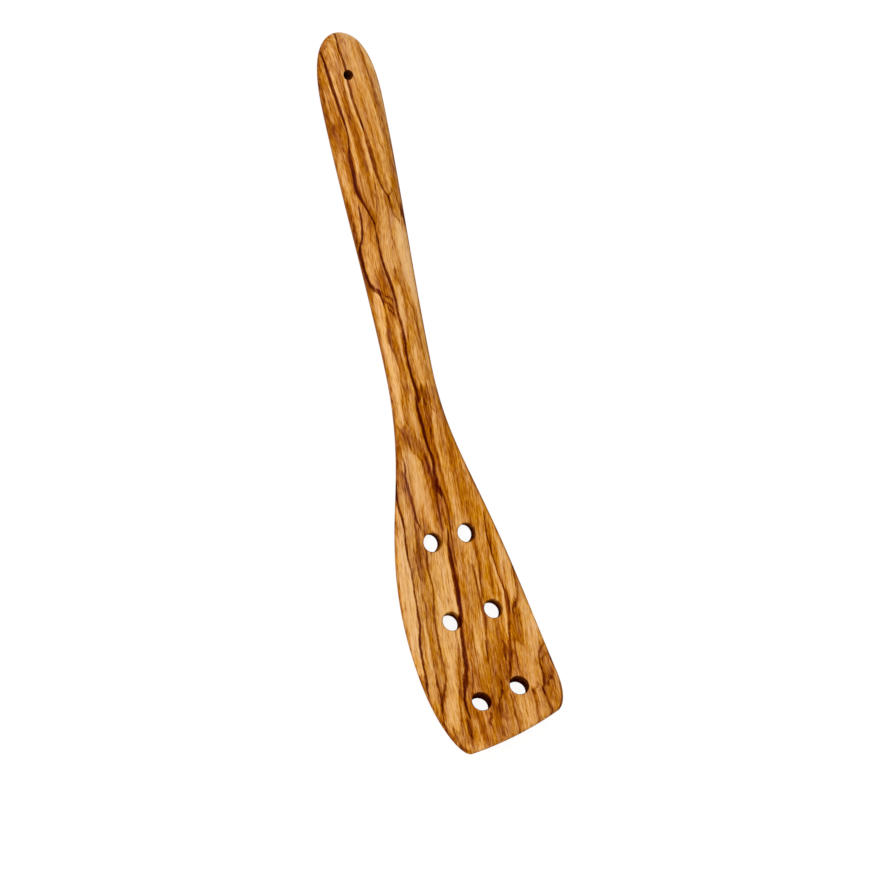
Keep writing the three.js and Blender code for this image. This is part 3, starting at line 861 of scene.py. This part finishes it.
    def figure(self, tree: NodeTree, share: Node, side: Node, tone: Node, *figures: Figure) -> Node:
        """Draw streaks of the figure over the ground.

        Args:
            tree: The material's node tree.
            share: The place along the wood, from 0 to 1.
            side: The place across the wood, from 0 to 1.
            tone: The tone of the ground.
            *figures: The streaks to draw, by their kind.

        Returns:
            The tone with the streaks in it.
        """
        length, width = self.along[1] - self.along[0], self.across[1] - self.across[0]
        streaks = [(kind, streak) for figure in figures for kind, group in figure.items() for streak in group]
        for kind, streak in streaks:
            amount, crisp = kind.value
            spots = [self.place(*point[:2]) for point in streak.path]
            sizes = [point[2] if len(point) > 2 else streak.half for point in streak.path]
            halves = [(spot[0], size * self.widening / width) for spot, size in zip(spots, sizes)]
            tail = (self.run_out[0] * streak.half + self.run_out[1]) / length
            before, after = spots[0][0] - tail, spots[-1][0] + tail
            starts = [(before - self.clear / length, self.no_width), (before, self.no_width)]
            ends = [(after, self.no_width), (after + self.clear / length, self.no_width)]
            middle = add(tree, "FloatCurve", {"Value": share})
            draw(middle.mapping, spots, "AUTO_CLAMPED")
            half = add(tree, "FloatCurve", {"Value": share})
            draw(half.mapping, [*starts, *halves, *ends], "VECTOR")
            off = add(tree, "Math", {0: side, 1: middle}, operation="SUBTRACT")
            fall = add(tree, "Math", {0: off, 1: half}, operation="DIVIDE")
            for _ in range(crisp):
                fall = add(tree, "Math", {0: fall, 1: fall}, operation="MULTIPLY")
            cover = add(tree, "Math", {0: self.left_over, 1: fall}, operation="POWER")
            weight = amount * streak.strength
            tone = add(tree, "Math", {0: cover, 1: weight, 2: tone}, operation="MULTIPLY_ADD")
        return tone

    def paint_edge_shade(self, tree: NodeTree, spot: Spot) -> Feed:
        """Paint shade on the edges, where they turn away from the light.

        Args:
            tree: The material's node tree.
            spot: Where a point lies in the wood.

        Returns:
            The shift of tone.
        """
        thinning = dict(enumerate(self.blank.thinning, 1))
        facing = add(tree, "SeparateXYZ", {0: add(tree, "TexCoord").outputs["Normal"]}).outputs[1]
        shift: Feed = 0.0
        for rim in self.rims:
            flank = add(tree, "Math", {0: facing, 1: rim.side}, operation="MULTIPLY")
            start = add(tree, "MapRange", {0: spot.along, **thinning, 3: rim.handle, 4: rim.blade}, **EASED)
            painted_shade = add(tree, "MapRange", {0: flank, 1: start, 2: rim.full, 3: 0.0, 4: rim.shift}, **EASED)
            shift = add(tree, "Math", {0: painted_shade, 1: shift}, operation="ADD")
        return shift

    def material(self, surface: Surface) -> Material:
        """Make the wood's material for one way of working it.

        Args:
            surface: How that part of the wood was worked.

        Returns:
            The new material.
        """
        work = surface.value
        material = bpy.data.materials.new(f"olive_wood_{surface.name.lower()}")
        material.use_nodes = True
        tree = material.node_tree
        tree.nodes.clear()
        spot = self.unbend(tree)
        ground, fine, mottle = self.grow(tree, spot)
        share, side = self.stray(tree, spot)
        # The walls of the holes are too dark to show more than the blade's own lines.
        hue = depth = mottle
        figures = (LEFT_BLADE_FIGURE, RIGHT_BLADE_FIGURE)
        if surface is Surface.SANDED:
            hue = self.figure(tree, share, side, mottle, HUE_FIGURE)
            depth = self.figure(tree, share, side, mottle, DEPTH_FIGURE)
            figures = (BROAD_FIGURE, HANDLE_FIGURE, NECK_FIGURE, *figures)
            # The edges get painted shade where they turn away from the light.
            worked = self.paint_edge_shade(tree, spot)
        else:
            # A hole's wall darkens towards the back: painted shade.
            tones = {3: work.shift, 4: work.shift + work.back_shade}
            worked = add(tree, "MapRange", {0: spot.above, 1: self.wall_shade_reach, 2: 0.0, **tones}, **EASED)
        tone = self.figure(tree, share, side, ground, *figures)
        ramp = add(tree, "ValToRGB", {0: add(tree, "Math", {0: tone, 1: worked}, operation="ADD")})
        stops = ramp.color_ramp.elements
        while len(stops) < len(self.tones):
            stops.new(0.5)
        for stop, (place, code) in zip(stops, self.tones):
            stop.position = place
            stop.color = linear(code)
        turn = add(tree, "MapRange", {0: hue, 1: -1.0, **dict(enumerate(self.hue_turn, 3))}, **STRAIGHT)
        fill = add(tree, "MapRange", {0: depth, 1: -1.0, **dict(enumerate(self.colour_depth, 3))}, **STRAIGHT)
        colour = add(tree, "HueSaturation", {
            "Hue": turn, "Saturation": fill, "Value": work.bright, "Color": ramp.outputs["Color"],
        })
        bump = add(tree, "Bump", {
            "Height": fine, "Distance": self.pore_depth * MM, "Strength": self.pore_strength,
        })
        # Oil fills the pores, so sanded wood looks deep and warm, with a faint soft shine.
        shader = add(tree, "BsdfPrincipled", {
            "Base Color": colour, "Normal": bump, "Roughness": work.rough, "IOR": self.ior,
            "Specular IOR Level": work.gloss,
        })
        add(tree, "OutputMaterial", {"Surface": shader})
        return material


@dataclass(frozen=True)
class Edge:
    """One long edge of the blade, from the neck round its front corner.

    It gives the side, the share of the half width that the front edge reaches to, the corner's length in
    millimetres, and how far the flare's curve is pulled as it leaves the neck and as it gets to the corner.
    """

    sign: float
    front: float
    corner: float
    leave: float
    arrive: float


@dataclass(frozen=True)
class Hole:
    """One drilled hole, by its place on the blank before the scoop."""

    station: float
    across: float
    diameter: float
    surface: Surface


@dataclass
class Spatula:
    """The whole spatula, which is one carved piece. Lengths are in millimetres."""

    blank: Blank = Blank()
    wood: OliveWood = OliveWood()
    handle_length: float = 142.0
    grip_width: float = 26.8
    neck_width: float = 20.4
    # The round end of the handle: its length, how far its curve is pulled at the nose and along the sides,
    # and how far the nose lies off the middle.
    end_length: float = 29.0
    end_nose: float = 0.29
    end_sides: float = 0.9
    end_offset: float = -0.8
    blade_length: float = 161.5
    blade_width: float = 58.0
    edge_slant: float = 12.0
    edge_bow: float = 1.5
    left: Edge = Edge(-1.0, 0.69, 36.0, 0.40, 0.50)
    right: Edge = Edge(1.0, 0.76, 16.5, 0.33, 0.62)
    handle_front: float = 5.0
    blade_front: float = 1.8
    handle_round: float = 7.0
    blade_front_round: float = 2.0
    blade_back_round: float = 20.0
    drain_diameter: float = 7.8
    hang_diameter: float = 3.6
    hang_setback: float = 18.6
    hang_offset: float = -1.2
    # Each row of drain holes: distance back from the front edge, to the left, to the right, and its slant.
    drain_rows: tuple[tuple[float, float, float, float], ...] = (
        (89.1, 6.2, 9.6, 3.0), (54.5, 7.8, 11.5, 3.0), (18.0, 7.9, 10.3, 8.5),
    )
    # The holes that lie this near to the front edge have their walls painted nearly black as deep shade.
    deep_shade_within: float = 30.0
    rim_round: float = 0.45
    # The angles of the eased rim's facets, from the face to the wall, and how far a drill goes past it.
    rim_angles: tuple[float, ...] = (78, 60, 42, 24, 8)
    drill_flare: float = 1.2
    drill_past: float = 1.5
    rail_steps: tuple[int, ...] = (44, 64, 110, 60)
    across_steps: int = 64
    hole_steps: int = 72
    # Points nearer than this are one point, in metres.
    same_point: float = 1e-7
    # Edges sharper than this many degrees stay crisp.
    crisp_angle: float = 38.0

    def rail(self, side: Edge) -> np.ndarray:
        """Draw one edge line of the blank, from the end of the handle to the front edge.

        Args:
            side: The edge to draw.

        Returns:
            Its points, as rows of along and across.
        """
        reach = self.blade_width / 2
        run = side.front * reach
        slant = math.radians(self.edge_slant)
        end = (-self.handle_length, self.end_offset)
        grip = (self.end_length - self.handle_length, side.sign * self.grip_width / 2)
        nose = (end[0], end[1] + grip[1] * self.end_nose)
        cheek = (grip[0] - self.end_length * self.end_sides, grip[1])
        neck = (0.0, side.sign * self.neck_width / 2)
        tip = (self.blade_length - side.sign * run * math.tan(slant), side.sign * run)
        swell = (tip[0] - side.corner, side.sign * reach)
        third = (neck[0] - grip[0]) / 3
        flare = swell[0] - neck[0]
        shoulder = side.sign * QUARTER_PULL * (reach - run)
        out = (tip[0] - math.sin(slant) * shoulder, tip[1] + math.cos(slant) * shoulder)
        curves = (
            [end, nose, cheek, grip],
            [grip, (grip[0] + third, grip[1]), (neck[0] - third, neck[1]), neck],
            [neck, (side.leave * flare, neck[1]), (swell[0] - side.arrive * flare, swell[1]), swell],
            [swell, (swell[0] + QUARTER_PULL * side.corner, swell[1]), out, tip],
        )
        walks = [bezier(knots, steps) for knots, steps in zip(curves, self.rail_steps)]
        return np.concatenate([np.array([end], float), *walks])

    def skin(
        self, station: np.ndarray, to_side: np.ndarray, to_end: np.ndarray
    ) -> tuple[np.ndarray, np.ndarray]:
        """Give the heights of the back and the food side before the scoop.

        Args:
            station: Places along the blank.
            to_side: Distances to the nearer long edge.
            to_end: Distances to the nearer end.

        Returns:
            The heights of the back and of the food side.
        """
        blank = self.blank
        thin = smoothstep(station, *blank.thinning)
        rise = self.handle_front + (self.blade_front - self.handle_front) * thin
        drop = blank.handle_back + (blank.blade_back - blank.handle_back) * thin
        front_round = self.handle_round + (self.blade_front_round - self.handle_round) * thin
        back_round = self.handle_round + (self.blade_back_round - self.handle_round) * thin
        edge = drop - blank.back_flat
        back = np.maximum(0.0, edge - drop * rounded(to_side, back_round) * rounded(to_end, back_round))
        front = edge + rise * rounded(to_side, front_round) * rounded(to_end, front_round)
        return back, front

    def scooped(self, s: np.ndarray, w: np.ndarray, h: np.ndarray) -> np.ndarray:
        """Bend the blank's points up along the scoop.

        Args:
            s: Places along the blank.
            w: Places across it.
            h: Heights above its back.

        Returns:
            The points as rows of x, y and z.
        """
        start, radius = self.blank.scoop_start, self.blank.scoop_radius
        turn = np.maximum(s - start, 0.0) / radius
        arm = radius - h
        return np.stack([np.minimum(s, start) + arm * np.sin(turn), w, radius - arm * np.cos(turn)], -1)

    def holes(self) -> list[Hole]:
        """List the drain holes and the hole to hang it by.

        Returns:
            The holes, the one in the handle first.
        """
        hang = self.hang_setback - self.handle_length
        # The hang hole's wall is painted nearly black as deep shade.
        found = [Hole(hang, self.hang_offset, self.hang_diameter, Surface.PAINTED_DEEP_SHADE)]
        for back, left, right, slant in self.drain_rows:
            lean = math.tan(math.radians(slant))
            # Holes near the front edge get walls painted nearly black as deep shade.
            surface = Surface.PAINTED_DEEP_SHADE if back < self.deep_shade_within else Surface.DRILLED
            for across in (-left, right):
                station = self.blade_length - back - across * lean
                found.append(Hole(station, across, self.drain_diameter, surface))
        return found

    def carve(self) -> Mesh:
        """Carve the blank: both edge lines, rounded sections and the scoop.

        Returns:
            The closed mesh, in metres.
        """
        left, right = self.rail(self.left), self.rail(self.right)
        u = -np.cos(np.pi * np.arange(self.across_steps + 1) / self.across_steps)[None, :]
        share = (1 + u) / 2
        station = ((left[:, 0] + right[:, 0]) / 2)[:, None]
        front_end = station[-1, 0]
        to_end = np.minimum(station + self.handle_length, front_end - station)
        bow = self.edge_bow * smoothstep(station, 0.0, front_end)
        s = left[:, :1] + (right[:, :1] - left[:, :1]) * share + bow * (1 - u * u)
        w = left[:, 1:] + (right[:, 1:] - left[:, 1:]) * share
        to_side = (1 - np.abs(u)) * (right[:, 1:] - left[:, 1:]) / 2
        back, front = self.skin(station, to_side, to_end)
        top, under = self.scooped(s, w, front) * MM, self.scooped(s, w, back) * MM
        rows, columns = s.shape
        points = np.concatenate([top.reshape(-1, 3), under.reshape(-1, 3)])
        cells = np.round(points / self.same_point)
        _, first, same = np.unique(cells, axis=0, return_index=True, return_inverse=True)
        index = same.reshape(2, rows, columns)
        corners = ((0, 0), (1, 0), (1, 1), (0, 1))
        faces = []
        for i in range(rows - 1):
            for j in range(columns - 1):
                for layer, order in ((0, 1), (1, -1)):
                    ring = [int(index[layer, i + a, j + b]) for a, b in corners][::order]
                    face = list(dict.fromkeys(ring))
                    if len(face) > 2:
                        faces.append(face)
        mesh = bpy.data.meshes.new("carved_spatula")
        mesh.from_pydata(points[first].tolist(), [], faces)
        mesh.validate()
        return mesh

    def cutters(self) -> Mesh:
        """Turn the drills: one for each hole, flaring at both faces so that the rims come out eased.

        Returns:
            One mesh with all of them, in metres.
        """
        points: list[tuple[float, float, float]] = []
        faces: list[list[int]] = []
        walls: list[int] = []
        steps, ease = self.hole_steps, self.rim_round
        arc = [math.radians(a) for a in self.rim_angles]
        far = np.array(self.handle_length)
        for hole in self.holes():
            thick = float(self.skin(np.array(hole.station), far, far)[1])
            turn = max(hole.station - self.blank.scoop_start, 0.0) / self.blank.scoop_radius
            middle = self.scooped(np.array(hole.station), np.array(hole.across), np.array(0.0))
            onward = np.array([math.cos(turn), 0.0, math.sin(turn)])
            up = np.array([-math.sin(turn), 0.0, math.cos(turn)])
            r = hole.diameter / 2
            upper = [(r + ease * (1 - math.cos(a)), thick - ease * (1 - math.sin(a))) for a in arc]
            lower = [(radius, thick - height) for radius, height in reversed(upper)]
            flare = upper[0][0] + self.drill_flare
            profile = [(flare, thick + self.drill_past), *upper, *lower, (flare, -self.drill_past)]
            base = len(points)
            for radius, height in profile:
                for k in range(steps):
                    a = 2 * math.pi * k / steps
                    aside = np.array([0.0, radius * math.sin(a), 0.0])
                    points.append(tuple((middle + onward * radius * math.cos(a) + aside + up * height) * MM))
            for ring in range(len(profile) - 1):
                for k in range(steps):
                    a, b = (base + ring * steps + n for n in (k, (k + 1) % steps))
                    faces.append([a, b, b + steps, a + steps][::-1])
            last = base + (len(profile) - 1) * steps
            faces.append([base + k for k in range(steps)])
            faces.append([last + k for k in reversed(range(steps))])
            walls += [list(Surface).index(hole.surface)] * (len(faces) - len(walls))
        mesh = bpy.data.meshes.new("drills")
        mesh.from_pydata(points, [], faces)
        mesh.polygons.foreach_set("material_index", walls)
        return mesh

    def fit(self, mesh: Mesh) -> None:
        """Fit a mesh to the solid's box, because finer facets reach a little further than the solid's.

        Args:
            mesh: The mesh, in metres.
        """
        low, high = (np.array(corner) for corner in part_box("spatula"))
        spots = np.zeros(len(mesh.vertices) * 3, np.float32)
        mesh.vertices.foreach_get("co", spots)
        spots = spots.reshape(-1, 3)
        least, most = spots.min(0), spots.max(0)
        fitted = low + (spots - least) * (high - low) / (most - least)
        mesh.vertices.foreach_set("co", fitted.astype(np.float32).ravel())

    def build(self) -> Object:
        """Carve the wood, drill it and smooth it.

        Returns:
            The finished piece, with its ways of working as material slots.
        """
        piece = bpy.data.objects.new("olive_wood_spatula", self.carve())
        drills = bpy.data.objects.new("drills", self.cutters())
        finishes = [self.wood.material(surface) for surface in Surface]
        for made in (piece, drills):
            bpy.context.scene.collection.objects.link(made)
            for finish in finishes:
                made.data.materials.append(finish)
        cut = piece.modifiers.new("drilled", "BOOLEAN")
        cut.object, cut.operation, cut.solver = drills, "DIFFERENCE", "EXACT"
        bpy.context.view_layer.update()
        drilled = bpy.data.meshes.new_from_object(piece.evaluated_get(bpy.context.evaluated_depsgraph_get()))
        piece.modifiers.clear()
        piece.data = drilled
        drilled.name = "olive_wood_spatula"
        bpy.data.objects.remove(drills)
        self.fit(drilled)
        drilled.shade_smooth()
        drilled.set_sharp_from_angle(angle=math.radians(self.crisp_angle))
        drilled.update()
        return piece

    def dress(self, piece: Object) -> None:
        """Let the piece stand for the solid: hide the solid and hang the piece on the root body.

        Args:
            piece: The finished piece.
        """
        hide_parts("spatula")
        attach(piece, "root")


@dataclass(frozen=True)
class Lamp:
    """A soft box: where it hangs and how wide it is in metres, and its power in watts."""

    name: str
    place: tuple[float, float, float]
    width: float
    power: float


@dataclass(frozen=True)
class WhiteBoard:
    """Matt white board: it scatters light evenly, so only the shadow shows on it."""

    face: str = "#E8E8E6"
    shade: str = "#6A6A6A"
    glow: float = 0.86


@dataclass
class Studio:
    """A pale floor, soft boxes and the camera. Lengths are in metres, angles in degrees."""

    aim: tuple[float, float, float] = (0.0322, 0.0058, 0.010)
    distance: float = 1.2
    turn: float = 22.05
    pitch: float = -1.72
    roll: float = -11.953
    # The lens and the width of the sensor, in millimetres.
    lens: float = 118.262
    sensor: float = 36.0
    floor_half: float = 6.0
    floor_gap: float = 0.0001
    board: WhiteBoard = WhiteBoard()
    sky: float = 0.42
    lamps: tuple[Lamp, ...] = (
        Lamp("key_box", (-0.25, -0.60, 1.30), 1.1, 12.5),
        Lamp("fill_box", (0.35, 0.85, 1.20), 1.2, 1.0),
    )

    def white_for_looks(self, tree: NodeTree) -> Node:
        """Tell the rays that look, straight or by a reflection, from those that carry light.

        Args:
            tree: The node tree that takes the test.

        Returns:
            The node that gives 1 for a ray that looks.
        """
        rays = add(tree, "LightPath").outputs
        seen = add(tree, "Math", {0: rays["Is Camera Ray"], 1: rays["Is Glossy Ray"]}, operation="MAXIMUM")
        return add(tree, "Math", {0: seen, 1: rays["Is Transmission Ray"]}, operation="MAXIMUM")

    def build_floor(self) -> Object:
        """Lay a plain pale floor that shows white and keeps the shadow.

        Returns:
            The floor.
        """
        side, board = self.floor_half, self.board
        mesh = bpy.data.meshes.new("floor")
        corners = [(-side, -side, 0), (side, -side, 0), (side, side, 0), (-side, side, 0)]
        mesh.from_pydata(corners, [], [(0, 1, 2, 3)])
        floor = bpy.data.objects.new("floor", mesh)
        floor.location.z = -self.floor_gap
        bpy.context.scene.collection.objects.link(floor)
        material = bpy.data.materials.new("matt_white_board")
        material.use_nodes = True
        tree = material.node_tree
        tree.nodes.clear()
        face = add(tree, "BsdfDiffuse", {"Color": linear(board.face)})
        glow = add(tree, "Emission", {"Color": linear("#FFFFFF"), "Strength": 1.0})
        weight = add(tree, "Math", {0: self.white_for_looks(tree), 1: board.glow}, operation="MULTIPLY")
        white = add(tree, "MixShader", {0: weight, 1: face, 2: glow})
        lift = add(tree, "BsdfDiffuse", {"Color": linear(board.shade)})
        shade = add(tree, "MixShader", {0: weight, 2: lift})
        add(tree, "OutputMaterial", {"Surface": add(tree, "AddShader", {0: white, 1: shade})})
        mesh.materials.append(material)
        return floor

    def build_light(self) -> None:
        """Hang the soft boxes and set the even light around them."""
        world = bpy.data.worlds.new("white_room")
        world.use_nodes = True
        tree = world.node_tree
        tree.nodes.clear()
        strength = add(tree, "MapRange", {0: self.white_for_looks(tree), 3: self.sky, 4: 1.0}, **STRAIGHT)
        around = add(tree, "Background", {"Color": linear("#FFFFFF"), "Strength": strength})
        add(tree, "OutputWorld", {"Surface": around})
        bpy.context.scene.world = world
        for lamp in self.lamps:
            light = bpy.data.lights.new(lamp.name, "AREA")
            light.shape, light.size, light.energy = "DISK", lamp.width, lamp.power
            box = bpy.data.objects.new(lamp.name, light)
            box.location = lamp.place
            box.rotation_euler = (Vector(self.aim) - Vector(lamp.place)).to_track_quat("-Z", "Y").to_euler()
            bpy.context.scene.collection.objects.link(box)

    def build_camera(self) -> Object:
        """Set the camera where the photograph was taken from.

        Returns:
            The camera.
        """
        turn, pitch, roll = (math.radians(a) for a in (self.turn, self.pitch, self.roll))
        back = Vector((math.sin(pitch), -math.sin(turn) * math.cos(pitch), math.cos(turn) * math.cos(pitch)))
        level = Vector((-1.0, 0.0, 0.0)).cross(back).normalized()
        right = math.cos(roll) * level + math.sin(roll) * back.cross(level)
        up = back.cross(right)
        data = bpy.data.cameras.new("camera")
        data.lens, data.sensor_width = self.lens, self.sensor
        camera = bpy.data.objects.new("camera", data)
        place = Vector(self.aim) + self.distance * back
        camera.matrix_world = Matrix.Translation(place) @ Matrix((right, up, back)).transposed().to_4x4()
        bpy.context.scene.collection.objects.link(camera)
        bpy.context.scene.camera = camera
        return camera


def main() -> None:
    """Build the spatula and its studio, and report each piece."""
    logging.basicConfig(level=logging.INFO, format="%(name)s: %(message)s")
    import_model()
    bpy.context.scene.view_settings.view_transform = "Standard"
    studio = Studio()
    LOG.info("camera %s", studio.build_camera().name)
    spatula = Spatula()
    piece = spatula.build()
    spatula.dress(piece)
    LOG.info("piece %s with %d faces", piece.name, len(piece.data.polygons))
    LOG.info("floor %s", studio.build_floor().name)
    studio.build_light()


if __name__ == "__main__":
    main()
